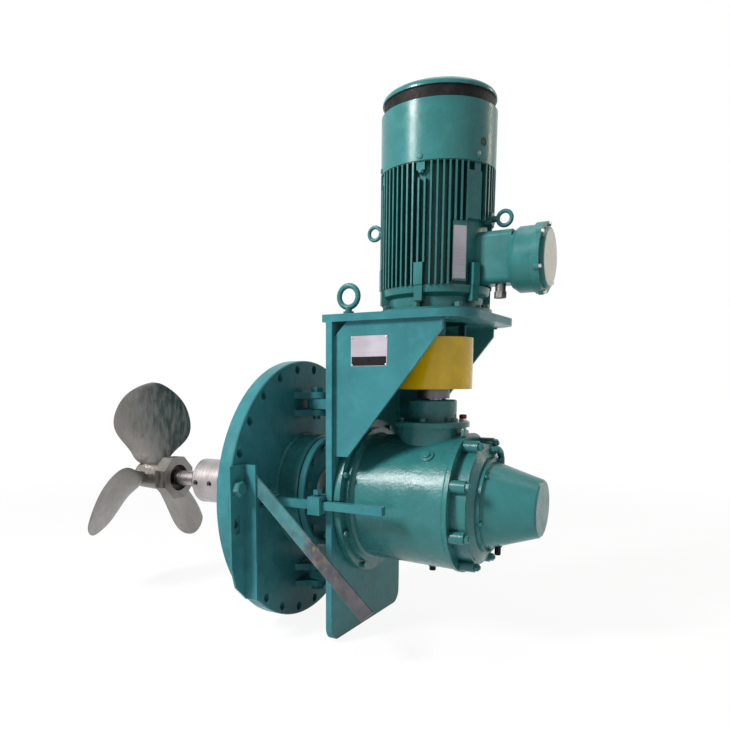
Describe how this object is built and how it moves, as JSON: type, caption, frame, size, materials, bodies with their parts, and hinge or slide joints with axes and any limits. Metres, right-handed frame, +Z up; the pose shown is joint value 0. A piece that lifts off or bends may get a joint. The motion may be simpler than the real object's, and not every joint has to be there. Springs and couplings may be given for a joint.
{
  "type": "side entry tank mixer",
  "caption": "Side entry tank mixer: swivelling flange mount, bladed propeller on a long shaft, bevel gearbox, vertical flameproof motor and guarded coupling.",
  "frame": {"origin": "centre of the mounting flange's outer face, on the propeller shaft's axis", "axes": "+X along the propeller shaft away from the tank, +Z up along the motor, -Y towards the angle bar"},
  "size_m": [1.675, 0.8955, 1.6864],
  "materials": {
    "teal": "satin",
    "yellow": "satin",
    "stainless": "brushed",
    "dark_steel": "satin",
    "gear_steel": "ground",
    "rubber": "matt",
    "cream": "satin",
    "bronze": "turned",
    "black": "matt",
    "core": "varnished laminations",
    "alloy": "cast",
    "primer": "matt"
  },
  "bodies": {
    "mount": {"mounting_flange": "teal", "ball_housing": "teal", "housing_gasket": "rubber", "clamp_ring": "teal", "ring_bolts": "dark_steel", "clevis_top": "teal", "clevis_bottom": "teal", "swivel_pin_top": "dark_steel", "swivel_pin_bottom": "dark_steel", "angle_post": "teal", "diagonal_brace": "primer", "bar_lug": "teal", "bar_pin": "dark_steel"},
    "angle_bar": {"angle_bar": "teal"},
    "lock_screw": {"lock_screw": "dark_steel"},
    "head": {"swivel_ball": "stainless", "shaft_bush": "bronze", "neck_tube": "stainless", "mounting_plate": "teal", "swivel_lug_top": "teal", "swivel_lug_bottom": "teal", "motor_base": "teal", "gusset_near": "teal", "gusset_far": "teal", "gearbox_housing": "teal", "output_bearings": "gear_steel", "rear_cover": "teal", "rear_cone": "teal", "input_carrier": "teal", "input_bearings": "gear_steel", "guard_carrier": "teal", "coupling_guard": "yellow", "drive_shield": "teal", "motor_frame": "teal", "stator": "core", "top_shield": "teal", "fan_cowl": "teal", "inlet_grille": "black", "canopy": "teal", "terminal_neck": "teal", "terminal_body": "teal", "terminal_cover": "teal", "cover_disc": "cream", "cable_inlet": "teal", "base_eye_bolt": "teal", "motor_eye_bolts": "teal", "clamp_block": "teal"},
    "propeller_line": {"propeller_shaft": "stainless", "shaft_sleeve": "stainless", "sleeve_screws": "dark_steel", "propeller": "stainless", "crown_gear": "gear_steel"},
    "drive_line": {"pinion_shaft": "gear_steel", "gear_hub": "dark_steel", "spider": "rubber", "motor_hub": "dark_steel", "motor_shaft": "gear_steel", "rotor_core": "alloy", "cooling_fan": "black"}
  },
  "joints": [
    {"name": "head_swivel", "type": "hinge", "parent": "mount", "child": "head", "pos_m": [0.045, 0, 0], "axis": [0, 0, 1], "range_deg": [-25, 25]},
    {"name": "bar_swivel", "type": "hinge", "parent": "mount", "child": "angle_bar", "pos_m": [0.045, -0.272, 0], "axis": [0, 0, 1], "range_deg": [-25, 25]},
    {"name": "lock_screw_lift", "type": "slide", "parent": "head", "child": "lock_screw", "axis": [0, 0, 1], "range_m": [0, 0.01]},
    {"name": "propeller_spin", "type": "hinge", "parent": "head", "child": "propeller_line", "pos_m": [0, 0, 0], "axis": [1, 0, 0], "continuous": true},
    {"name": "motor_spin", "type": "hinge", "parent": "head", "child": "drive_line", "pos_m": [0.469, 0, 0], "axis": [0, 0, 1], "continuous": true}
  ],
  "couplings": [
    {"joint": "bar_swivel", "follows": "head_swivel", "ratio": 1},
    {"joint": "motor_spin", "follows": "propeller_spin", "ratio": -3.5833}
  ]
}
